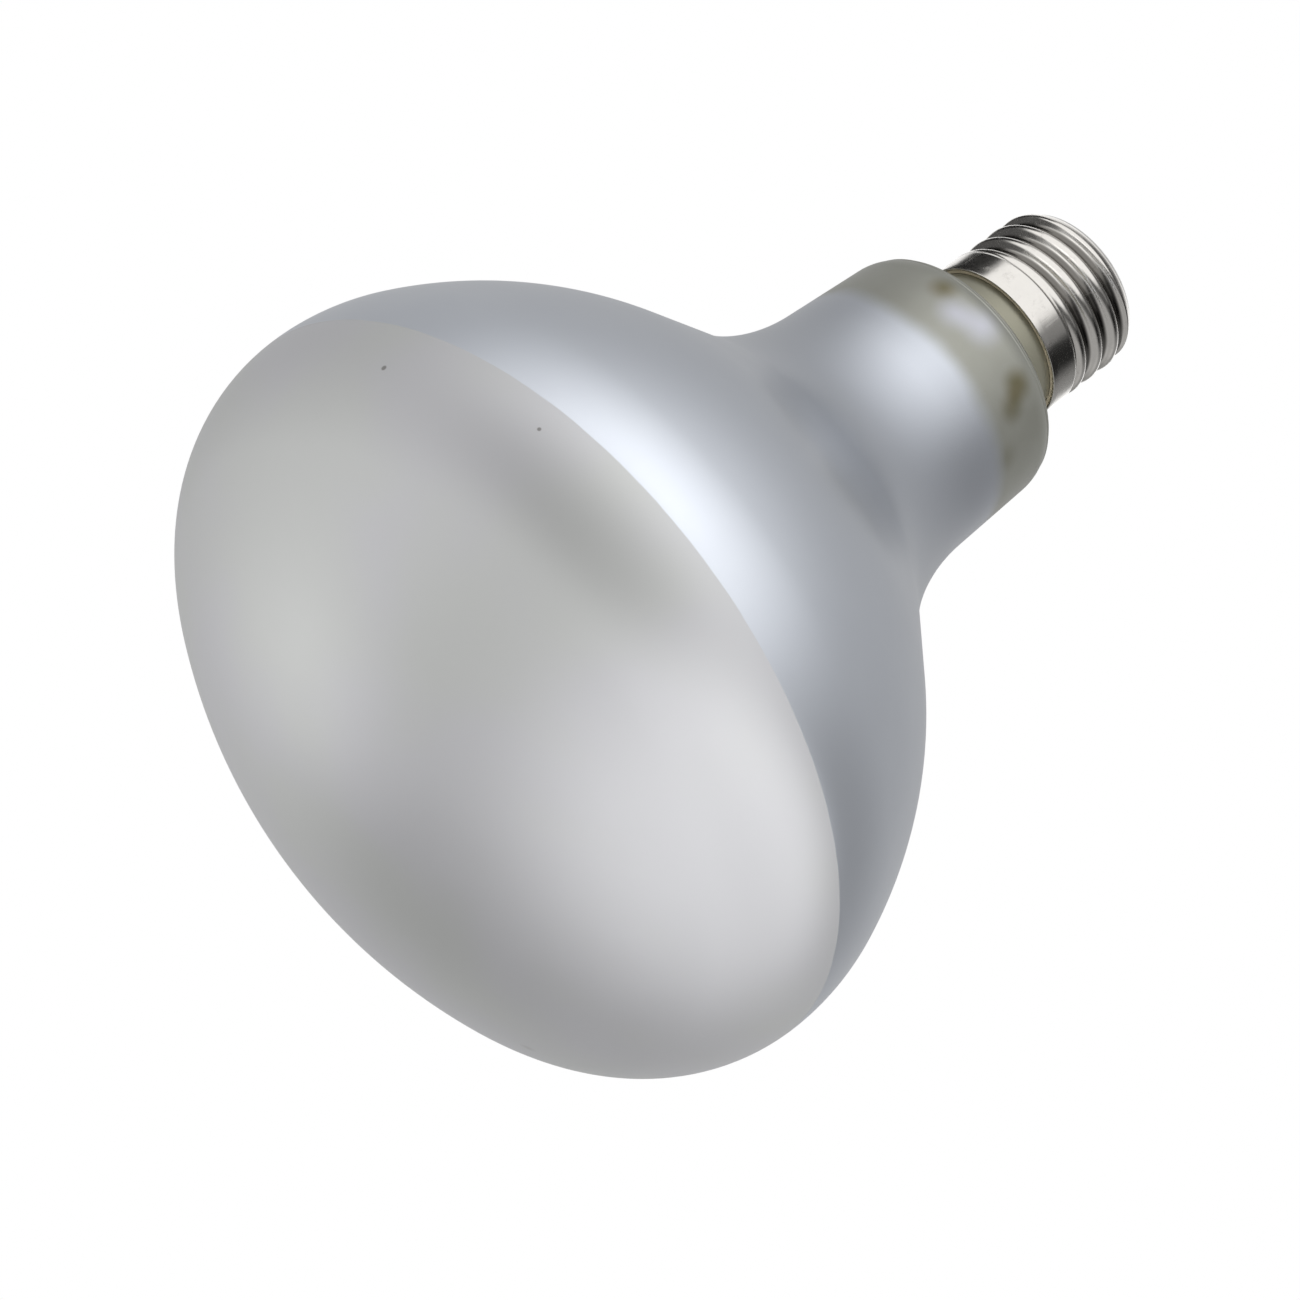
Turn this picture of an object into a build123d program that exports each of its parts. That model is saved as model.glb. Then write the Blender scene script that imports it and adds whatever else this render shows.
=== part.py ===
# Reflector lamp with a mercury vapour arc: blown glass bulb with a domed face, on a 26 mm Edison screw cap.
# The lamp's axis is Z. The middle of its domed face is at the origin. The cap is up, and holds the lamp.
# Lengths are in millimetres and angles in degrees. The front of the lamp is the side towards -Y.
import os
from math import acos, asin, cos, degrees, radians, sin, sqrt

from build123d import *

# Bulb: a spherical face, a tight knuckle, the widest circle, and a back that narrows to the neck
bulb_diameter = 125.0
face_radius = 88.6
knuckle_radius = 24.3
crown_radius = 33.1
crown_turn = 20.2
shoulder_radius = 71.2
shoulder_turn = 25.3
throat_radius = 37.6
neck_diameter = 40.7
neck_length = 14.9
neck_taper = 3.3

# End of the neck: the glass closes over a rounded edge and leaves a short collar for the cap
neck_end_radius = 5.9
closing_angle = 80.0
collar_fillet = 2.0
collar_length = 3.9
collar_taper = 8.0
seal_radius = 7.0
exhaust_tip_diameter = 6.0
exhaust_tip_length = 4.0

# Screw shell: sheet metal with a plain skirt, a rolled round thread and an end that curls inwards
skirt_diameter = 26.4
skirt_length = 4.9
thread_crest_diameter = 26.25
thread_pitch = 3.629
thread_radius = 1.025
thread_root_flat = 0.7
thread_foot_angle = 12.0
thread_phase = 29.4
threaded_length = 14.8
shell_wall = 0.4
curl_radius = 4.5
curl_mouth_diameter = 18.8

# Cement ring between the shell and the collar, whose gap is as wide as the side lead asks
cement_length = 3.6
cement_recess = 0.15

# End of the cap: black glass button, round contact plate with a dished middle, and the solder in the dish
insulator_height = 2.9
insulator_depth = 2.6
insulator_land = 0.4
contact_diameter = 10.4
contact_thickness = 0.6
contact_rounding = 0.25
contact_recess = 0.15
contact_hole_diameter = 3.0
contact_dish_depth = 0.25
solder_diameter = 5.2
solder_height = 1.7
solder_depth = 1.4

# Lead wires, and the bead that joins the side lead to the rim of the shell
lead_diameter = 0.45
lead_spread = 4.2
lead_bend = 1.0
lead_fold = 0.35
side_lead_rise = 1.8
side_lead_hook = 1.5
centre_lead_rise = 6.2
bead_radius = 1.3
bead_height = 0.9

# Clearance between pieces that seat in one another
seat = 0.05

# Bulb: worked-out sizes
bulb_radius = bulb_diameter / 2
face_turn = degrees(asin((bulb_radius - knuckle_radius) / (face_radius - knuckle_radius)))
steepest = crown_turn + shoulder_turn
neck_radius = neck_diameter / 2
neck_root_radius = neck_radius + neck_length * sin(radians(neck_taper))


def arc_drop(radius, one_angle, other_angle):
    """How far an arc moves towards the axis while its slope goes from one angle to the other."""
    return radius * abs(cos(radians(one_angle)) - cos(radians(other_angle)))


cone_drop = (
    bulb_radius
    - arc_drop(crown_radius, 0, crown_turn)
    - arc_drop(shoulder_radius, crown_turn, steepest)
    - arc_drop(throat_radius, steepest, neck_taper)
    - neck_root_radius
)

# Cap: worked-out radii
skirt_radius = skirt_diameter / 2
crest_radius = thread_crest_diameter / 2
half_pitch = thread_pitch / 2
groove_offset = sqrt(4 * thread_radius**2 - half_pitch**2)
root_radius = crest_radius - 2 * thread_radius + groove_offset
core_radius = root_radius + thread_radius - sqrt(thread_radius**2 - (thread_root_flat / 2) ** 2)
bore_radius = core_radius - shell_wall
skirt_bore_radius = skirt_radius - shell_wall
mouth_radius = curl_mouth_diameter / 2
contact_radius = contact_diameter / 2
contact_hole_radius = contact_hole_diameter / 2
solder_radius = solder_diameter / 2
lead_radius = lead_diameter / 2

# The side lead passes between the collar and the skirt, and the closing wall of the neck ends there
collar_radius = skirt_bore_radius - lead_diameter - 2 * seat
closing_drop = (
    neck_radius
    - arc_drop(neck_end_radius, neck_taper, closing_angle)
    - arc_drop(collar_fillet, closing_angle, collar_taper)
    - collar_length * sin(radians(collar_taper))
    - collar_radius
)

# Bulb: one closed glass body, silvered and frosted on its inner wall, sealed at the collar
with BuildPart() as bulb:
    with BuildSketch(Plane.XZ) as bulb_section:
        with BuildLine() as bulb_outline:
            face = CenterArc((0, face_radius), face_radius, -90, face_turn)
            knuckle = JernArc(face @ 1, face % 1, knuckle_radius, 90 - face_turn)
            crown = JernArc(knuckle @ 1, knuckle % 1, crown_radius, crown_turn)
            shoulder = JernArc(crown @ 1, crown % 1, shoulder_radius, shoulder_turn)
            cone = PolarLine(shoulder @ 1, cone_drop / sin(radians(steepest)), direction=shoulder % 1)
            throat = JernArc(cone @ 1, cone % 1, throat_radius, neck_taper - steepest)
            neck = PolarLine(throat @ 1, neck_length, direction=throat % 1)
            neck_end = JernArc(neck @ 1, neck % 1, neck_end_radius, closing_angle - neck_taper)
            closing_length = closing_drop / sin(radians(closing_angle))
            closing = PolarLine(neck_end @ 1, closing_length, direction=neck_end % 1)
            collar_root = JernArc(closing @ 1, closing % 1, collar_fillet, collar_taper - closing_angle)
            collar = PolarLine(collar_root @ 1, collar_length, direction=collar_root % 1)
            seal = JernArc(collar @ 1, collar % 1, seal_radius, 90 - collar_taper)
            sealed_end = Line(seal @ 1, (exhaust_tip_diameter / 2, (seal @ 1).Y))
            tip_wall = PolarLine(sealed_end @ 1, exhaust_tip_length, 90)
            tip_dome = JernArc(tip_wall @ 1, tip_wall % 1, exhaust_tip_diameter / 2, 90)
            Line(tip_dome @ 1, face @ 0)
        make_face()
    revolve(axis=Axis.Z)

# Heights on the finished glass that the cap is built from
rim_height = (collar @ 1).Y
sealed_end_height = (seal @ 1).Y
thread_start = rim_height + skirt_length
neck_in_height = thread_start + abs(skirt_radius - core_radius)
shell_end = thread_start + threaded_length
insulator_top = shell_end + insulator_height
contact_foot = insulator_top - contact_recess
contact_top = contact_foot + contact_thickness
dish_floor = contact_top - contact_dish_depth

# The curl: outside it runs from the crests to the lip round the mouth, and inside it keeps the wall
curl_centre_radius = crest_radius - curl_radius
lip_radius = mouth_radius + shell_wall
curl_height = shell_end - sqrt(curl_radius**2 - (lip_radius - curl_centre_radius) ** 2)
curl_centre = (curl_centre_radius, curl_height)
inner_curl_radius = curl_radius - shell_wall


def curl_angle(radius, at_radius):
    """Angle above the horizontal at which an arc about the curl's centre is at_radius from the axis."""
    return degrees(acos((at_radius - curl_centre_radius) / radius))


# Screw shell: the rolled thread, trimmed by the curl, on a thin core that runs from the rim to the lip
with BuildPart() as screw_shell:
    with BuildLine(Plane.XY.offset(thread_start - thread_radius)) as thread_path:
        Helix(thread_pitch, threaded_length + 2 * thread_radius, core_radius)
    thread_line = thread_path.line.rotate(Axis.Z, thread_phase)
    outwards = Vector(1, 0, 0).rotate(Axis.Z, thread_phase)
    with BuildSketch(Plane(thread_line @ 0, x_dir=outwards, z_dir=thread_line % 0)) as thread_section:
        with BuildLine() as thread_outline:
            flank_turn = degrees(asin(half_pitch / (2 * thread_radius)))
            crest_centre = (crest_radius - thread_radius - core_radius, 0)
            crest = CenterArc(crest_centre, thread_radius, 0, flank_turn)
            groove = JernArc(crest @ 1, crest % 1, thread_radius, thread_foot_angle - flank_turn)
            foot = Line(groove @ 1, (-shell_wall / 2, (groove @ 1).Y))
            mirror(about=Plane.XZ)
            Line(foot @ 1, (-shell_wall / 2, -(foot @ 1).Y))
        make_face()
    sweep(path=thread_line, is_frenet=True)
    with BuildSketch(Plane.XZ) as envelope_section:
        trim = shell_wall / 4
        envelope_radius = max(skirt_radius, crest_radius) + shell_wall
        with BuildLine() as envelope_outline:
            curl = CenterArc(curl_centre, curl_radius, 0, curl_angle(curl_radius, bore_radius + trim))
            Polyline(
                curl @ 1,
                (bore_radius + trim, neck_in_height),
                (skirt_bore_radius + trim, thread_start),
                (skirt_bore_radius + trim, thread_start - thread_radius),
                (envelope_radius, thread_start - thread_radius),
                (envelope_radius, curl_height),
                curl @ 0,
            )
        make_face()
    revolve(axis=Axis.Z, mode=Mode.INTERSECT)
    with BuildSketch(Plane.XZ) as shell_section:
        with BuildLine() as shell_outline:
            bore_angle = curl_angle(inner_curl_radius, bore_radius)
            mouth_angle = curl_angle(inner_curl_radius, mouth_radius)
            core_angle = curl_angle(curl_radius, core_radius)
            lip_angle = curl_angle(curl_radius, lip_radius)
            inner_curl = CenterArc(curl_centre, inner_curl_radius, bore_angle, mouth_angle - bore_angle)
            outer_curl = CenterArc(curl_centre, curl_radius, core_angle, lip_angle - core_angle)
            Polyline(inner_curl @ 1, (mouth_radius, shell_end), outer_curl @ 1)
            Polyline(
                outer_curl @ 0,
                (core_radius, neck_in_height),
                (skirt_radius, thread_start),
                (skirt_radius, rim_height),
                (skirt_bore_radius, rim_height),
                (skirt_bore_radius, thread_start),
                (bore_radius, neck_in_height),
                inner_curl @ 0,
            )
        make_face()
    revolve(axis=Axis.Z)

# Side lead: from the sealed end, out over the cement, down beside the collar and round the rim
lead_gap_radius = skirt_bore_radius - seat - lead_radius
lead_outer_radius = skirt_radius + seat + lead_radius
lead_turn_height = thread_start - lead_radius - seat
with BuildPart() as side_lead:
    with BuildLine(Plane.YZ) as side_route:
        FilletPolyline(
            (lead_spread, sealed_end_height),
            (lead_spread, sealed_end_height + side_lead_rise),
            (lead_gap_radius, lead_turn_height),
            (lead_gap_radius, rim_height - seat - lead_radius),
            (lead_outer_radius, rim_height - seat - lead_radius),
            (lead_outer_radius, rim_height + side_lead_hook),
            radius=[lead_bend, lead_bend, lead_fold, lead_fold],
        )
    side_route_start = Plane(side_route.line @ 0, z_dir=side_route.line % 0)
    with BuildSketch(side_route_start) as side_wire:
        Circle(lead_radius)
    sweep(path=side_route.line)

# Cement ring: fills the gap between the glass and the skirt, with a groove that the side lead lies in
with BuildPart() as basing_cement:
    cement_foot = rim_height + cement_recess
    with BuildSketch(Plane.XZ) as cement_section:
        with BuildLine() as cement_outline:
            glass_radius = seal_radius + seat
            foot_angle = degrees(asin((cement_foot - seal.center_point.Y) / glass_radius))
            top_angle = degrees(asin((cement_foot + cement_length - seal.center_point.Y) / glass_radius))
            on_glass = CenterArc(seal.center_point, glass_radius, foot_angle, top_angle - foot_angle)
            Polyline(
                on_glass @ 1,
                (skirt_bore_radius - seat, cement_foot + cement_length),
                (skirt_bore_radius - seat, cement_foot),
                on_glass @ 0,
            )
        make_face()
    revolve(axis=Axis.Z)
    with BuildSketch(Plane.XY.offset(cement_foot)) as lead_groove:
        with Locations((0, lead_gap_radius)):
            Circle(lead_radius + seat)
    extrude(amount=cement_length, mode=Mode.SUBTRACT)

# Insulator: black glass moulded into the curl, with a cone that carries the contact plate
with BuildPart() as insulator:
    with BuildSketch(Plane.XZ) as insulator_section:
        with BuildLine() as insulator_outline:
            seated_radius = inner_curl_radius - seat
            wall_angle = curl_angle(seated_radius, bore_radius - seat)
            neck_angle = curl_angle(seated_radius, mouth_radius - seat)
            in_curl = CenterArc(curl_centre, seated_radius, wall_angle, neck_angle - wall_angle)
            Polyline(
                in_curl @ 1,
                (mouth_radius - seat, shell_end),
                (contact_radius + seat + insulator_land, insulator_top),
                (contact_radius + seat, insulator_top),
                (contact_radius + seat, contact_foot),
                (contact_hole_radius, contact_foot),
                (contact_hole_radius, shell_end - insulator_depth),
                (bore_radius - seat, shell_end - insulator_depth),
                in_curl @ 0,
            )
        make_face()
    revolve(axis=Axis.Z)

# Contact plate: a pressed brass washer in the insulator's recess, dished round its hole
with BuildPart() as contact_plate:
    with BuildSketch(Plane.XY.offset(contact_foot)) as contact_section:
        Circle(contact_radius)
        Circle(contact_hole_radius, mode=Mode.SUBTRACT)
    extrude(amount=contact_thickness)
    contact_face = contact_plate.faces().sort_by(Axis.Z)[-1]
    fillet(contact_face.outer_wire().edges(), contact_rounding)
    with BuildSketch(Plane.XY.offset(dish_floor)):
        Circle(solder_radius + seat)
    extrude(amount=contact_dish_depth, mode=Mode.SUBTRACT)

# Centre lead: from the sealed end, past the exhaust tip and up the axis into the solder
with BuildPart() as centre_lead:
    with BuildLine(Plane.YZ) as centre_route:
        bend_height = sealed_end_height + centre_lead_rise
        FilletPolyline(
            (-lead_spread, sealed_end_height),
            (-lead_spread, bend_height),
            (0, bend_height + lead_spread),
            (0, contact_top),
            radius=lead_bend,
        )
    centre_route_start = Plane(centre_route.line @ 0, z_dir=centre_route.line % 0)
    with BuildSketch(centre_route_start) as centre_wire:
        Circle(lead_radius)
    sweep(path=centre_route.line)

# Centre solder: a drop that fills the hole and the dish of the plate round the lead, and stands domed above
with BuildPart() as centre_solder:
    with BuildSketch(Plane.XZ) as solder_section:
        with BuildLine() as solder_outline:
            dome_radius = (solder_radius**2 + solder_height**2) / (2 * solder_height)
            dome_centre = (0, contact_top + solder_height - dome_radius)
            edge_angle = degrees(asin((dome_radius - solder_height) / dome_radius))
            dome = CenterArc(dome_centre, dome_radius, edge_angle, 90 - edge_angle)
            Polyline(
                dome @ 1,
                (0, contact_top + seat),
                (lead_radius + seat, contact_top + seat),
                (lead_radius + seat, contact_foot - solder_depth),
                (contact_hole_radius - seat, contact_foot - solder_depth),
                (contact_hole_radius - seat, dish_floor),
                (solder_radius, dish_floor),
                dome @ 0,
            )
        make_face()
    revolve(axis=Axis.Z)

# Side solder: a bead on the outside of the skirt, over the end of the side lead
with BuildPart() as side_solder:
    with Locations((0, skirt_radius, rim_height + bead_height)):
        Sphere(bead_radius)
    with Locations((0, 0, rim_height)):
        Cylinder(skirt_radius + seat, 4 * bead_radius, mode=Mode.SUBTRACT)
    with BuildSketch(side_route_start) as side_wire_way:
        Circle(lead_radius + seat)
    sweep(path=side_route.line, mode=Mode.SUBTRACT)

bulb.part.label = "bulb"
screw_shell.part.label = "screw_shell"
basing_cement.part.label = "basing_cement"
insulator.part.label = "insulator"
contact_plate.part.label = "contact_plate"
centre_lead.part.label = "centre_lead"
side_lead.part.label = "side_lead"
centre_solder.part.label = "centre_solder"
side_solder.part.label = "side_solder"

os.makedirs("parts", exist_ok=True)
export_step(bulb.part, "parts/bulb.step")
export_step(screw_shell.part, "parts/screw_shell.step")
export_step(basing_cement.part, "parts/basing_cement.step")
export_step(insulator.part, "parts/insulator.step")
export_step(contact_plate.part, "parts/contact_plate.step")
export_step(centre_lead.part, "parts/centre_lead.step")
export_step(side_lead.part, "parts/side_lead.step")
export_step(centre_solder.part, "parts/centre_solder.step")
export_step(side_solder.part, "parts/side_solder.step")
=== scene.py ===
from math import acos, asin, cos, degrees, pi, radians, sin, sqrt

import bmesh
import bpy
from mathutils import Matrix, Vector


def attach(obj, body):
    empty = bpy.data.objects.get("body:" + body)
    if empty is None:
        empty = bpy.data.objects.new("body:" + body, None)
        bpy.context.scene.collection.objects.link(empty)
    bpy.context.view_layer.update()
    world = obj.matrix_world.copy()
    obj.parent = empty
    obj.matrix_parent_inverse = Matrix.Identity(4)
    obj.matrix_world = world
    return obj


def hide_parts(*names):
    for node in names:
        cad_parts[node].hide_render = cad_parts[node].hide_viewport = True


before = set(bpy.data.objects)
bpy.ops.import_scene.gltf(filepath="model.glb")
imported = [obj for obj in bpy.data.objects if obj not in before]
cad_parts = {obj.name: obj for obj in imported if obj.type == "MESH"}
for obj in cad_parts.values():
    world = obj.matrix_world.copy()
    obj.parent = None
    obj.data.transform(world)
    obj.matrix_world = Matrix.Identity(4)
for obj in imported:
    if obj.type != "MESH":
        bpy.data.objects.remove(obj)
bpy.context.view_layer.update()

# Viewpoint: a long lens that looks up at the lamp from below its face, so that the lamp lies across the picture
# with its cap towards the upper right.
mm = 0.001
view_right = Vector((0.6004, -0.4117, 0.6856)).normalized()
view_up = Vector((-0.7997, -0.3091, 0.5147))
view_back = view_right.cross(view_up).normalized()
view_up = view_back.cross(view_right).normalized()
camera = bpy.data.objects.new("camera", bpy.data.cameras.new("camera"))
camera.data.sensor_width = 36
camera.data.lens = 324.7
camera.data.clip_start = 0.05
camera.data.clip_end = 50
lens_point = (Vector((0, -1466.5, -823.5)) + 3.7 * view_right - 4.9 * view_up) * mm
turned = Matrix((view_right, view_up, view_back)).transposed().to_4x4()
camera.matrix_world = Matrix.Translation(lens_point) @ turned
bpy.context.scene.collection.objects.link(camera)
bpy.context.scene.camera = camera

# Bulb: one blown glass envelope, closed at the collar. Its face is frosted, its back is silvered on the inside and
# looks satin, and the silver stops short of the neck's end, where the bare frosted glass turns olive grey.
# The cap's cement holds the collar. A fine pair of mould ridges runs round the rounded end of the neck.
bulb_radius = 62.5
face_radius, knuckle_radius = 88.6, 24.3
crown_radius, crown_turn = 33.1, 20.2
shoulder_radius, shoulder_turn = 71.2, 25.3
throat_radius, neck_radius, neck_length, neck_taper = 37.6, 20.35, 14.9, 3.3
neck_end_radius, closing_angle = 5.9, 80
collar_fillet, collar_length, collar_taper, collar_radius = 2.0, 3.9, 8, 12.25
seal_radius, exhaust_tip_radius, exhaust_tip_length = 7.0, 3.0, 4.0
mould_ridges = [(18.95, 0.10, 0.16), (19.45, 0.13, 0.16)]
silver_edge = 35.6
bulb_columns = 240


def drop(radius, one_angle, other_angle):
    """How far an arc moves towards the axis while its slope goes from one angle to the other."""
    return radius * abs(cos(radians(one_angle)) - cos(radians(other_angle)))


def run(outline, heading, length, rows):
    """Carries the outline on in a straight line, and keeps its heading."""
    r, z = outline[-1]
    for row in range(1, rows + 1):
        step = length * row / rows
        outline.append((r + step * cos(radians(heading)), z + step * sin(radians(heading))))
    return heading


def bend(outline, heading, radius, turn, rows):
    """Carries the outline on round an arc, and gives the heading at its end."""
    r, z = outline[-1]
    side = 1 if turn > 0 else -1
    centre_r = r - side * radius * sin(radians(heading))
    centre_z = z + side * radius * cos(radians(heading))
    for row in range(1, rows + 1):
        angle = radians(heading + turn * row / rows)
        outline.append((centre_r + side * radius * sin(angle), centre_z - side * radius * cos(angle)))
    return heading + turn


def blown_outline():
    """The outside of the glass as (radius, height) points, from the middle of the face to the exhaust tip."""
    face_turn = degrees(asin((bulb_radius - knuckle_radius) / (face_radius - knuckle_radius)))
    steepest = crown_turn + shoulder_turn
    neck_root = neck_radius + neck_length * sin(radians(neck_taper))
    cone_drop = (
        bulb_radius - neck_root - drop(crown_radius, 0, crown_turn)
        - drop(shoulder_radius, crown_turn, steepest) - drop(throat_radius, steepest, neck_taper)
    )
    closing_drop = (
        neck_radius - collar_radius - drop(neck_end_radius, neck_taper, closing_angle)
        - drop(collar_fillet, closing_angle, collar_taper) - collar_length * sin(radians(collar_taper))
    )
    outline = [(0.0, 0.0)]
    heading = bend(outline, 0, face_radius, face_turn, 36)
    heading = bend(outline, heading, knuckle_radius, 90 - face_turn, 34)
    heading = bend(outline, heading, crown_radius, crown_turn, 16)
    heading = bend(outline, heading, shoulder_radius, shoulder_turn, 24)
    heading = run(outline, heading, cone_drop / sin(radians(steepest)), 8)
    heading = bend(outline, heading, throat_radius, neck_taper - steepest, 28)
    heading = run(outline, heading, neck_length, 10)
    heading = bend(outline, heading, neck_end_radius, closing_angle - neck_taper, 90)
    heading = run(outline, heading, closing_drop / sin(radians(closing_angle)), 6)
    heading = bend(outline, heading, collar_fillet, collar_taper - closing_angle, 12)
    heading = run(outline, heading, collar_length, 6)
    heading = bend(outline, heading, seal_radius, 90 - collar_taper, 12)
    run(outline, heading, outline[-1][0] - exhaust_tip_radius, 3)
    run(outline, 90, exhaust_tip_length, 3)
    bend(outline, 90, exhaust_tip_radius, 90, 8)
    return outline[:-1] + [(0.0, outline[-1][1])]


def with_ridges(outline):
    """Lifts the outline off itself by a rounded ridge at each place where the mould left one."""
    lifted = list(outline)
    for i in range(1, len(outline) - 1):
        (r0, z0), (r, z), (r1, z1) = outline[i - 1], outline[i], outline[i + 1]
        along = sqrt((r1 - r0) ** 2 + (z1 - z0) ** 2)
        lift = sum(
            high * max(0.0, 1 - ((r - at) / half) ** 2) ** 2 for at, high, half in mould_ridges if z > 125
        )
        lifted[i] = (r + lift * (z1 - z0) / along, z - lift * (r1 - r0) / along)
    return lifted


def turned_mesh(name, rows, columns, closed=False):
    """A mesh of rings round the axis. A row is (radius, height), or a function from the angle to them."""
    points, rings, faces = [], [], []
    for row in rows:
        if not callable(row) and row[0] < 1e-9:
            rings.append([len(points)])
            points.append((0.0, 0.0, row[1] * mm))
            continue
        rings.append(list(range(len(points), len(points) + columns)))
        for column in range(columns):
            angle = 2 * pi * column / columns
            r, z = row(angle) if callable(row) else row
            points.append((r * cos(angle) * mm, r * sin(angle) * mm, z * mm))
    pairs = list(zip(rings, rings[1:])) + ([(rings[-1], rings[0])] if closed else [])
    for low, high in pairs:
        for i in range(columns):
            j = (i + 1) % columns
            corners = [low[i % len(low)], low[j % len(low)], high[j % len(high)], high[i % len(high)]]
            faces.append(tuple(dict.fromkeys(corners)))
    mesh = bpy.data.meshes.new(name)
    mesh.from_pydata(points, [], faces)
    mesh.polygons.foreach_set("use_smooth", [True] * len(faces))
    mesh.update()
    piece = bpy.data.objects.new(name, mesh)
    bpy.context.scene.collection.objects.link(piece)
    return piece


class Finish:
    """The nodes of a material or of the world, and the one way in which they are added."""

    def __init__(self, owner):
        owner.use_nodes = True
        self.owner, self.tree = owner, owner.node_tree
        self.tree.nodes.clear()

    def node(self, kind, settings, sockets, output=0):
        """Adds a node, sets its settings and then its sockets, and gives one of its outputs."""
        made = self.tree.nodes.new("ShaderNode" + kind)
        for name, value in settings.items():
            setattr(made, name, value)
        for name, value in sockets.items():
            if isinstance(value, Reading):
                self.tree.links.new(value.socket, made.inputs[name])
            else:
                made.inputs[name].default_value = value
        return Reading(self, made.outputs[output]) if len(made.outputs) else made

    def place(self):
        """The point on the piece in millimetres, and its height above the face."""
        point = self.node("TexCoord", {}, {}, "Object")
        point = self.node("VectorMath", {"operation": "SCALE"}, {0: point, "Scale": 1000.0})
        return point, self.node("SeparateXYZ", {}, {0: point}, "Z")

    def from_axis(self, point):
        """Distance of the point from the lamp's axis."""
        level = self.node("VectorMath", {"operation": "MULTIPLY"}, {0: point, 1: (1.0, 1.0, 0.0)})
        return self.node("VectorMath", {"operation": "LENGTH"}, {0: level}, "Value")

    def noise(self, point, size, detail=2.0, roughness=0.5, stretch=None):
        """Cloudy variation from 0 to 1 whose patches are about size across, stretched along the axes if asked."""
        if stretch:
            point = self.node("VectorMath", {"operation": "MULTIPLY"}, {0: point, 1: stretch})
        sockets = {"Vector": point, "Scale": 1 / size, "Detail": detail, "Roughness": roughness}
        return self.node("TexNoise", {}, sockets, 0)

    def ease(self, value, low, high):
        """0 below low, 1 above high, and a smooth rise between them. It falls instead where low is above high."""
        sockets = {"Value": value, "From Min": low, "From Max": high}
        if low > high:
            sockets = {"Value": value, "From Min": high, "From Max": low, "To Min": 1.0, "To Max": 0.0}
        return self.node("MapRange", {"interpolation_type": "SMOOTHSTEP"}, sockets)

    def mix(self, factor, one, other):
        """One colour where the factor is 0 and the other where it is 1."""
        one, other = (c if isinstance(c, Reading) else (*c, 1.0) for c in (one, other))
        return self.node("Mix", {"data_type": "RGBA"}, {0: factor, 6: one, 7: other}, 2)

    def spot(self, point, middle, radius, softness):
        """1 round a point on the piece, and 0 further off than the radius and softness."""
        away = self.node("VectorMath", {"operation": "DISTANCE"}, {0: point, 1: middle}, "Value")
        return self.ease(away, radius + softness, radius - softness)

    def bump(self, height, depth, distance=0.001, normal=None):
        """The normal of a surface whose relief is height times the distance, in metres."""
        sockets = {"Strength": depth, "Distance": distance, "Height": height}
        if normal:
            sockets["Normal"] = normal
        return self.node("Bump", {}, sockets)

    def surface(self, **sockets):
        """Ends a material in one shader, with the sockets given by their names in lower case."""
        named = {name.replace("_", " ").title().replace("Ior", "IOR"): value for name, value in sockets.items()}
        shader = self.node("BsdfPrincipled", {}, named)
        self.node("OutputMaterial", {}, {"Surface": shader})
        return self.owner


class Reading:
    """A value that varies over a surface, as a node's socket. Arithmetic on it adds Math nodes."""

    def __init__(self, finish, socket):
        self.finish, self.socket = finish, socket

    def maths(self, operation, one, other):
        return self.finish.node("Math", {"operation": operation}, {0: one, 1: other})

    def __add__(self, other):
        return self.maths("ADD", self, other)

    def __sub__(self, other):
        return self.maths("SUBTRACT", self, other)

    def __rsub__(self, other):
        return self.maths("SUBTRACT", other, self)

    def __mul__(self, other):
        return self.maths("MULTIPLY", self, other)

    __radd__ = __add__


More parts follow.
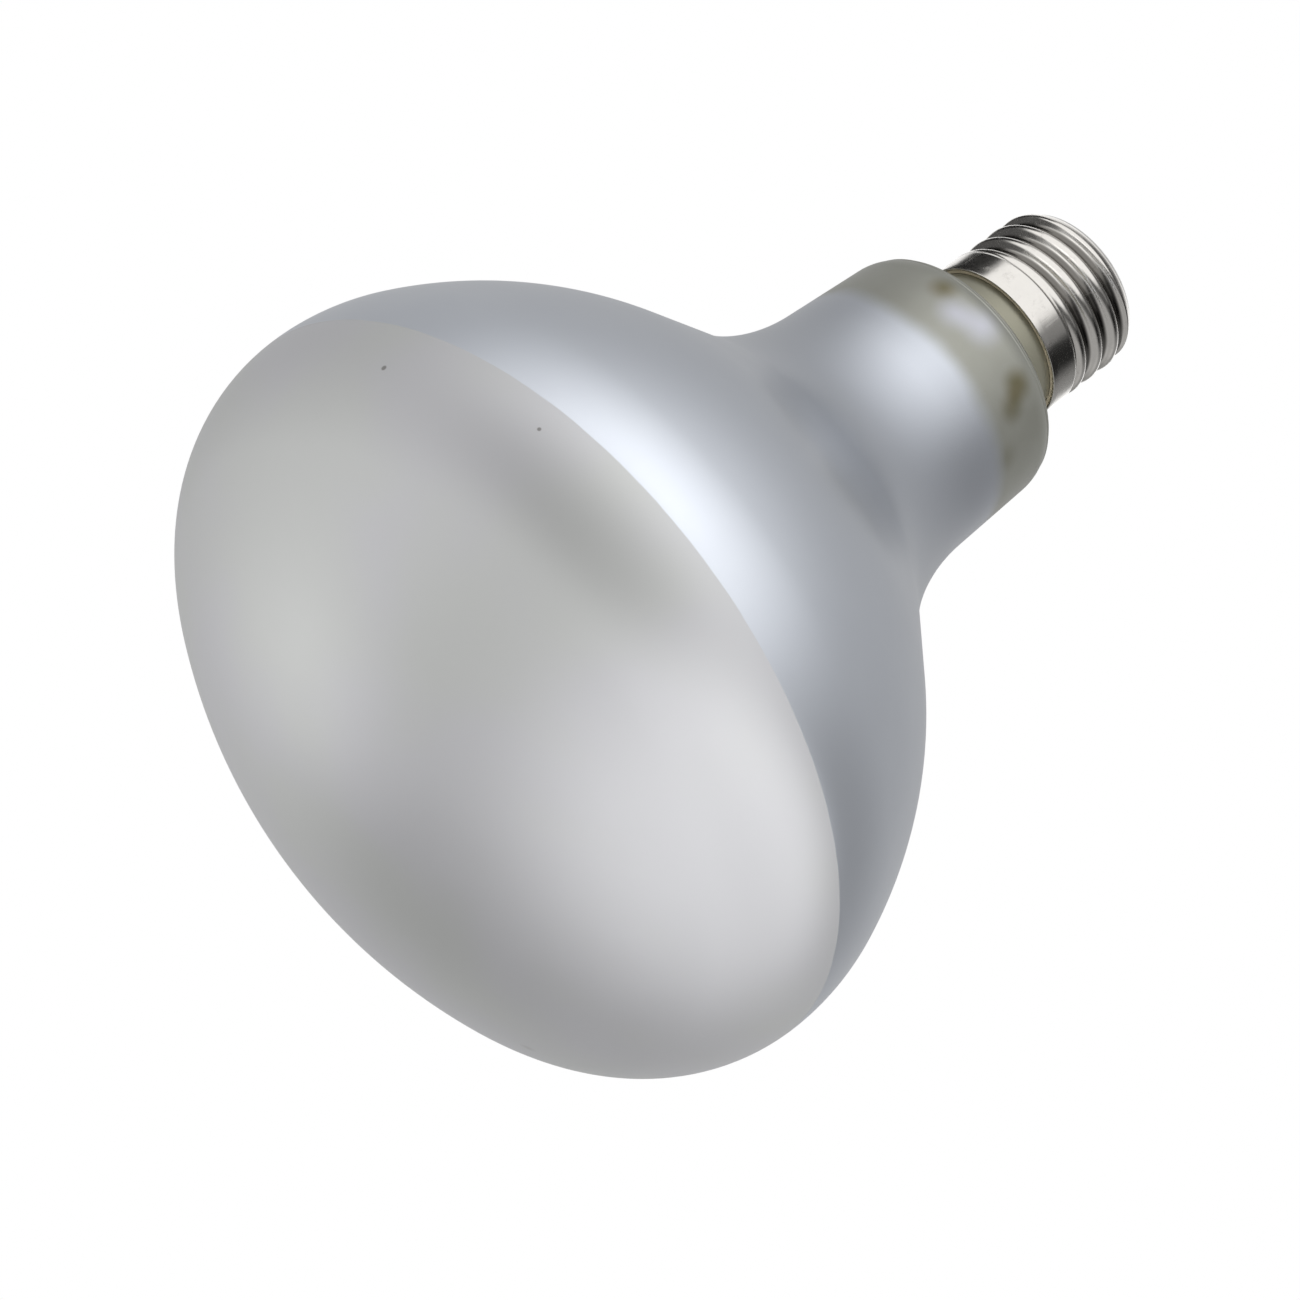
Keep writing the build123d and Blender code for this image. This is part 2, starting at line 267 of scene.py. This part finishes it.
def bulb_glass():
    """Satin glass in three zones by height: frosted face, silvered back, and bare frosted end of the neck.

    The bare end has a few brown patches, a painted bluish highlight on its shoulder, two mould ridges painted pale
    as their highlight, and a darker wall that closes the neck.
    """
    finish = Finish(bpy.data.materials.new("bulb_glass"))
    point, height = finish.place()
    cloud = finish.noise(point, 38, 2)
    mottle = finish.noise(point, 9, 3)
    grain = finish.noise(point, 0.35, 2)

    edge = height + (finish.noise(point, 6, 2) - 0.5) * 0.2
    silvered = finish.ease(edge, silver_edge - 0.08, silver_edge + 0.08)
    bare = finish.ease(height + (finish.noise(point, 11, 2) - 0.5) * 2.4, 113.6, 117.8)

    tinge = finish.ease(cloud, 0.38, 0.62)
    frost = finish.mix(tinge, (0.556, 0.564, 0.556), (0.558, 0.559, 0.576))
    thinning = finish.node("MapRange", {}, {"Value": height, "From Min": 45.0, "From Max": 97.0})
    silver = finish.mix(thinning, (0.592, 0.622, 0.672), (0.462, 0.486, 0.528))
    silver = finish.mix(mottle * 0.16, silver, (0.42, 0.43, 0.50))
    olive = finish.mix(mottle, (0.255, 0.256, 0.222), (0.325, 0.328, 0.296))

    patches = finish.spot(point, (7.4, -19.1, 123.6), 2.0, 1.7) + finish.spot(point, (-10.6, -17.4, 124.6), 1.6, 1.9)
    patches = patches + finish.spot(point, (9.6, -18.2, 121.0), 1.7, 1.7) * 0.8
    patches = patches + finish.spot(point, (15.1, -14.3, 117.2), 1.8, 1.8) * 0.3
    closing = finish.ease(height, 129.0, 130.4)
    stain = finish.mix(finish.ease(mottle, 0.3, 0.7), (0.130, 0.122, 0.066), (0.180, 0.158, 0.100))
    olive = finish.mix(patches, olive, stain)
    across = finish.from_axis(point)
    # Painted highlight: the two mould ridges on the closing wall are painted pale, as bright lines along the glass.
    ridge_highlight = finish.ease(across, 18.73, 18.90) * finish.ease(across, 19.18, 19.02)
    ridge_highlight = (ridge_highlight + finish.ease(across, 19.25, 19.42) * finish.ease(across, 19.68, 19.54) * 0.8) * closing
    olive = finish.mix(closing, olive, (0.285, 0.276, 0.215))
    olive = finish.mix(ridge_highlight * 0.7, olive, (0.50, 0.49, 0.43))
    # Painted highlight: two fixed spots on the shoulder of the bare neck end are painted bluish white.
    shoulder_highlight = finish.spot(point, (-6.6, -19.1, 122.2), 1.8, 2.4) + finish.spot(point, (-2.8, -20.1, 124.0), 2.2, 2.6)
    olive = finish.mix(shoulder_highlight * 0.65, olive, (0.50, 0.51, 0.60))

    specks = finish.spot(point, (-48.6, -36.6, 28.0), 0.4, 0.15) + finish.spot(point, (-28.1, -55.1, 31.3), 0.3, 0.12)
    specks = specks + finish.spot(point, (41.8, 23.6, 14.1), 0.9, 0.8) * 0.25
    colour = finish.mix(silvered, frost, silver)
    colour = finish.mix(bare, colour, olive)
    colour = finish.mix(specks * 0.75, colour, (0.16, 0.15, 0.14))

    metallic = 0.72 + silvered * 0.20 - bare * 0.27
    roughness = 0.50 - silvered * 0.20 + bare * 0.05 + (mottle - 0.5) * 0.04 + (grain - 0.5) * 0.03
    waves = finish.bump(cloud, 0.25, 0.001)
    normal = finish.bump(grain, 0.08, 0.0001, waves)
    return finish.surface(
        base_color=colour, metallic=metallic, roughness=roughness, normal=normal, ior=1.5,
        coat_weight=0.1, coat_roughness=0.3,
    )


bulb = turned_mesh("glass_bulb", with_ridges(blown_outline()), bulb_columns)
bulb.data.materials.append(bulb_glass())
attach(bulb, "root")
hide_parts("bulb")

# Screw shell: thin sheet metal, bright nickel plated, drawn into a plain skirt and rolled into a round right-hand
# thread. Its end curls in and holds the insulator. The skirt is cemented round the glass collar.
rim_height, skirt_radius, skirt_length = 136.208, 13.2, 4.9
crest_radius, pitch, roll_radius, thread_phase, threaded_length = 13.125, 3.629, 1.025, 29.4, 14.8
shell_wall, curl_radius, mouth_radius = 0.4, 4.5, 9.4
core_radius, rim_rounding = 12.091, 0.12
shoulder_length, shoulder_softness, curl_softness = 1.109, 0.5, 0.25
inside_radius, skirt_inside_radius = 11.69, 12.8
row_step = 0.1
thread_start = rim_height + skirt_length
shell_end = thread_start + threaded_length
shell_columns = 256
roll_centre = crest_radius - roll_radius
groove_centre = roll_centre + sqrt(4 * roll_radius**2 - (pitch / 2) ** 2)
curl_centre_radius = crest_radius - curl_radius
curl_height = shell_end - sqrt(curl_radius**2 - (mouth_radius + shell_wall - curl_centre_radius) ** 2)


def rolled_radius(angle, height):
    """Radius of the rolled wave: arcs over the crests and through the grooves, on a right-hand helix."""
    turns = (height - thread_start + roll_radius) / pitch - (degrees(angle) - thread_phase) / 360
    from_crest = abs(turns - round(turns)) * pitch
    if from_crest <= pitch / 4:
        return roll_centre + sqrt(roll_radius**2 - from_crest**2)
    return groove_centre - sqrt(roll_radius**2 - (pitch / 2 - from_crest) ** 2)


def soft_least(one, other, softness):
    """The smaller of two radii, with the corner between them rounded off."""
    overlap = max(0.0, softness - abs(one - other)) / softness
    return min(one, other) - softness * overlap**2 / 4


def thread_row(height, envelope=None):
    """A ring of the thread: it starts under the skirt's shoulder, and the curl trims its crests at the end."""
    shoulder = skirt_radius - (height - thread_start) * (skirt_radius - core_radius) / shoulder_length

    def ring(angle):
        radius = rolled_radius(angle, height)
        if envelope:
            radius = soft_least(radius, envelope, curl_softness)
        if shoulder > core_radius - 0.6:
            radius = -soft_least(-radius, -shoulder, shoulder_softness)
        return radius, height

    return ring


def shell_rows():
    """The outside from the rim to the mouth, and the plain inside back again."""
    rows = []
    for i in range(5):
        angle = radians(90 * i / 4)
        rows.append((skirt_radius - rim_rounding * (1 - sin(angle)), rim_height + rim_rounding * (1 - cos(angle))))
    rows += [(skirt_radius, rim_height + 1.2 * i) for i in range(1, 4)]
    rows += [(skirt_radius, thread_start - 0.7), (skirt_radius, thread_start - 0.4)]
    for i in range(-2, int((curl_height - thread_start) / row_step)):
        height = thread_start + i * row_step
        rows.append(thread_row(height) if i > 0 else (skirt_radius - 0.02 * (i + 2) ** 2, height))
    lip_angle = degrees(acos((mouth_radius + shell_wall - curl_centre_radius) / curl_radius))
    for i in range(61):
        angle = radians(lip_angle * i / 60)
        height = curl_height + curl_radius * sin(angle)
        rows.append(thread_row(height, curl_centre_radius + curl_radius * cos(angle)))
    rows.append((mouth_radius + 0.1, shell_end + 0.02))
    rows.append((mouth_radius, shell_end - 0.1))
    inner = curl_radius - shell_wall
    for i in range(9):
        angle = radians(76 - 52 * i / 8)
        rows.append((curl_centre_radius + inner * cos(angle), curl_height + inner * sin(angle)))
    rows += [(inside_radius, curl_height), (inside_radius, thread_start + 1.1)]
    rows += [(skirt_inside_radius, thread_start), (skirt_inside_radius, rim_height + 0.1)]
    return rows


def nickel_plate():
    """Bright plate with fine rolling lines round it, grooves painted near black as dirt and painted shade, and small
    rubs, dents and scratches.
    """
    finish = Finish(bpy.data.materials.new("nickel_plate"))
    point, height = finish.place()
    cloud = finish.noise(point, 5, 3)
    lines = finish.noise(point, 1.6, 3, 0.6, (0.12, 0.12, 6.0))
    rub = finish.ease(finish.noise(point, 2.4, 4, 0.7), 0.56, 0.72)
    scratch = finish.ease(finish.noise(point, 0.7, 1, 0.5, (1.0, 1.0, 0.12)), 0.66, 0.70)
    colour = finish.mix(cloud, (0.600, 0.580, 0.550), (0.540, 0.525, 0.500))
    colour = finish.mix(rub * 0.35, colour, (0.42, 0.405, 0.38))
    threaded = finish.ease(height, 139.6, 140.6) * finish.ease(height, 155.6, 155.0)
    # Painted shade and painted dark reflection, partly dirt: the bottoms of the thread's grooves are painted near
    # black.
    groove_dirt_and_shade = finish.ease(finish.from_axis(point), 12.36, 12.08) * threaded
    colour = finish.mix(groove_dirt_and_shade * 0.9, colour, (0.085, 0.080, 0.072))
    roughness = 0.18 + cloud * 0.06 + rub * 0.10 + scratch * 0.10
    dents = finish.bump(finish.noise(point, 3.5, 2), 0.22, 0.0002)
    normal = finish.bump(lines, 0.25, 0.00003, dents)
    return finish.surface(base_color=colour, metallic=1.0, roughness=roughness, normal=normal)


shell = turned_mesh("rolled_screw_shell", shell_rows(), shell_columns, closed=True)
shell.data.materials.append(nickel_plate())
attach(shell, "root")
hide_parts("screw_shell")


# Basing cement: a ring of baked resin and marble powder between the collar and the skirt. It was pressed in as a
# paste, so its face is dull, grainy and uneven in colour.
def finish_node(name, material):
    """Gives a piece of the frame this finish in place of its plain one."""
    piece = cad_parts[name]
    piece.data.materials.clear()
    piece.data.materials.append(material)


def baked_cement():
    finish = Finish(bpy.data.materials.new("baked_cement"))
    point, height = finish.place()
    grit = finish.noise(point, 0.25, 4, 0.7)
    cloud = finish.noise(point, 2.2, 3)
    colour = finish.mix(cloud, (0.50, 0.43, 0.30), (0.66, 0.60, 0.47))
    colour = finish.mix(finish.ease(grit, 0.62, 0.72), colour, (0.42, 0.36, 0.26))
    normal = finish.bump(grit, 0.5, 0.0002)
    return finish.surface(base_color=colour, roughness=0.82 + grit * 0.1, normal=normal)


finish_node("basing_cement", baked_cement())


# Insulator: black glass pressed hot into the curled end of the shell. It is glossy, with slight flow waves and a
# little dust in them.
def pressed_glass():
    finish = Finish(bpy.data.materials.new("pressed_black_glass"))
    point, height = finish.place()
    flow = finish.noise(point, 3.2, 2, 0.5, (1.0, 1.0, 2.5))
    dust = finish.ease(finish.noise(point, 0.5, 4, 0.7), 0.58, 0.78)
    colour = finish.mix(dust, (0.018, 0.018, 0.022), (0.12, 0.115, 0.105))
    normal = finish.bump(flow, 0.5, 0.0004)
    return finish.surface(base_color=colour, roughness=0.08 + flow * 0.06 + dust * 0.3, normal=normal, ior=1.52)


finish_node("insulator", pressed_glass())


# Contact plate: a brass washer stamped from sheet and seated in the insulator. It has tarnished a little, most
# near its edge, and its face carries fine turning marks.
def stamped_brass():
    finish = Finish(bpy.data.materials.new("stamped_brass"))
    point, height = finish.place()
    tarnish = finish.ease(finish.noise(point, 2.6, 4, 0.6), 0.40, 0.70)
    marks = finish.noise(point, 0.5, 3, 0.6, (1.0, 0.08, 1.0))
    colour = finish.mix(tarnish, (0.80, 0.62, 0.30), (0.52, 0.36, 0.17))
    normal = finish.bump(marks, 0.4, 0.00006)
    return finish.surface(
        base_color=colour, metallic=1.0, roughness=0.22 + tarnish * 0.2 + marks * 0.06, normal=normal
    )


finish_node("contact_plate", stamped_brass())


# Lead wires: drawn nickel wire, one up the axis into the solder and one over the rim of the skirt, grey and faintly
# lined along their length.
def drawn_wire():
    finish = Finish(bpy.data.materials.new("drawn_wire"))
    point, height = finish.place()
    lines = finish.noise(point, 0.12, 2, 0.6, (1.0, 1.0, 0.1))
    cloud = finish.noise(point, 1.5, 2)
    colour = finish.mix(cloud, (0.50, 0.49, 0.47), (0.63, 0.62, 0.60))
    return finish.surface(
        base_color=colour, metallic=1.0, roughness=0.28 + lines * 0.12, normal=finish.bump(lines, 0.4, 0.00003)
    )


wire = drawn_wire()
finish_node("centre_lead", wire)
finish_node("side_lead", wire)


# Solder: a domed drop on the contact plate and a bead on the rim of the skirt. It froze with a dull skin and faint
# ripples, and a trace of brown flux lies round its foot.
def set_solder():
    finish = Finish(bpy.data.materials.new("set_solder"))
    point, height = finish.place()
    ripple = finish.noise(point, 0.9, 3, 0.55)
    skin = finish.noise(point, 0.18, 3, 0.6)
    flux = finish.ease(finish.noise(point, 1.4, 3, 0.6), 0.58, 0.74)
    colour = finish.mix(skin, (0.55, 0.56, 0.58), (0.68, 0.69, 0.71))
    colour = finish.mix(flux * 0.6, colour, (0.30, 0.20, 0.09))
    normal = finish.bump(skin, 0.35, 0.00004, finish.bump(ripple, 0.6, 0.0003))
    return finish.surface(
        base_color=colour, metallic=0.95 - flux * 0.5, roughness=0.30 + skin * 0.16 + flux * 0.1, normal=normal
    )


solder = set_solder()
finish_node("centre_solder", solder)
finish_node("side_solder", solder)


# Studio: a plain white floor under the face, white all round, and tents of pale cloth that soft lamps light from
# outside. The lamp hangs over the floor, and the floor has no underside, so that the picture can be taken from below
# and the tent's low lamps reach the face. The screw shell has a tent of its own, and no light from the other one.
def white_floor():
    """White paint that shows the lamp's shadow, fades to plain white further off, and is clear from below."""
    finish = Finish(bpy.data.materials.new("white_floor"))
    point, height = finish.place()
    away = finish.node("VectorMath", {"operation": "LENGTH"}, {0: point}, "Value")
    under = finish.node("NewGeometry", {}, {}, "Backfacing")
    paint = finish.node("BsdfDiffuse", {}, {"Color": (0.82, 0.82, 0.82, 1)})
    lift = finish.node("Emission", {}, {"Color": (1, 1, 1, 1), "Strength": 0.3})
    lit = finish.node("AddShader", {}, {0: paint, 1: lift})
    glow = finish.node("Emission", {}, {"Color": (1, 1, 1, 1), "Strength": 1.0})
    sweep = finish.node("MixShader", {}, {0: finish.ease(away, 180.0, 800.0), 1: lit, 2: glow})
    clear = finish.node("BsdfTransparent", {}, {})
    finish.node("OutputMaterial", {}, {"Surface": finish.node("MixShader", {}, {0: under, 1: sweep, 2: clear})})
    return finish.owner


floor_mesh = bpy.data.meshes.new("floor")
corners = [(-4, -4), (4, -4), (4, 4), (-4, 4)]
floor_mesh.from_pydata([(x, y, -0.0002) for x, y in corners], [], [(0, 1, 2, 3)])
floor = bpy.data.objects.new("floor", floor_mesh)
floor.data.materials.append(white_floor())
floor.visible_diffuse = floor.visible_glossy = floor.visible_transmission = floor.visible_shadow = False
bpy.context.scene.collection.objects.link(floor)


def glowing_cloth(name, radius, grey, windows, sheer=False):
    """Cloth that glows with a soft window where each lamp stands behind it, in the middle of its tent."""
    finish = Finish(bpy.data.materials.new(name))
    point = finish.node("TexCoord", {}, {}, "Object")
    glow = grey
    for towards, half, edge, brightness in windows:
        middle = Vector(towards).normalized() * radius
        glow = finish.spot(point, middle, half * radius, edge * radius) * brightness + glow
    glow = finish.node("Math", {"operation": "MAXIMUM"}, {0: glow, 1: 0.02})
    cloth = finish.node("Emission", {}, {"Strength": glow})
    if sheer:
        cloth = finish.node("AddShader", {}, {0: cloth, 1: finish.node("BsdfTransparent", {}, {})})
    finish.node("OutputMaterial", {}, {"Surface": cloth})
    finish.owner.cycles.emission_sampling = "NONE"
    return finish.owner


def round_tent(name, radius, cloth, lights, leaves_out):
    """A ball of cloth round the lamp, whose light falls on one piece only, or on all but that piece."""
    mesh = bpy.data.meshes.new(name)
    ball = bmesh.new()
    bmesh.ops.create_icosphere(ball, subdivisions=4, radius=radius)
    ball.to_mesh(mesh)
    ball.free()
    tent = bpy.data.objects.new(name, mesh)
    tent.data.materials.append(cloth)
    tent.location = (0, 0, 0.07)
    tent.visible_camera = False
    bpy.context.scene.collection.objects.link(tent)
    lit = bpy.data.collections.new(name + "_lights")
    lit.objects.link(lights or leaves_out)
    lit.collection_objects[0].light_linking.link_state = "INCLUDE" if lights else "EXCLUDE"
    tent.light_linking.receiver_collection = lit


# direction from the tent's middle, half width, width of the soft edge, and brightness, in tent radii
bulb_windows = [
    ((-0.32, -0.88, 0.36), 0.56, 0.70, 1.60),
    ((0.81, -0.23, -0.54), 0.83, 0.15, 1.61),
    ((-0.23, 0.17, -0.96), 0.86, 0.63, 0.59),
    ((1.00, -0.08, -0.01), 0.79, 0.48, -0.32),
    ((0.55, 0.20, -0.81), 0.91, 0.18, -0.80),
    ((-0.37, -0.89, -0.27), 0.61, 0.15, -0.80),
    ((-0.23, 0.68, -0.69), 0.22, 0.15, 1.39),
    ((0.16, 0.77, -0.62), 0.29, 0.15, -0.63),
]
shell_windows = [
    ((-0.57, -0.80, 0.17), 0.95, 0.12, 1.40),
    ((-0.11, 0.63, 0.77), 0.60, 0.15, 1.25),
    ((0.79, 0.21, -0.57), 0.75, 0.25, 0.45),
    ((0.66, 0.66, 0.35), 0.55, 0.25, 0.25),
    ((0.52, -0.66, 0.54), 0.20, 0.15, 0.22),
    ((-0.25, -0.43, -0.87), 0.50, 0.15, 0.90),
    ((-0.75, 0.47, 0.46), 0.32, 0.08, -1.50),
    ((-0.88, 0.03, 0.47), 0.22, 0.07, -1.50),
    ((0.84, -0.27, 0.45), 0.30, 0.10, -0.25),
]
round_tent("tent", 1.4, glowing_cloth("tent_cloth", 1.4, 0.54, bulb_windows), None, shell)
round_tent("shell_tent", 1.2, glowing_cloth("shell_cloth", 1.2, 0.12, shell_windows, sheer=True), shell, None)

surround = 0.55


def white_surround():
    """White to the camera and in what the lamp reflects, and a plain even light on everything else."""
    finish = Finish(bpy.data.worlds.new("white_surround"))
    seen = finish.node("LightPath", {}, {}, "Is Camera Ray")
    mirrored = finish.node("LightPath", {}, {}, "Is Glossy Ray")
    through = finish.node("LightPath", {}, {}, "Is Transmission Ray")
    shown = finish.node("Math", {"operation": "MINIMUM"}, {0: seen + mirrored + through, 1: 1.0})
    light = finish.node("Background", {}, {"Strength": shown * (1 - surround) + surround, "Color": (1, 1, 1, 1)})
    finish.node("OutputWorld", {}, {"Surface": light})
    return finish.owner


bpy.context.scene.world = white_surround()

view = bpy.context.scene.view_settings
view.view_transform = "Standard"
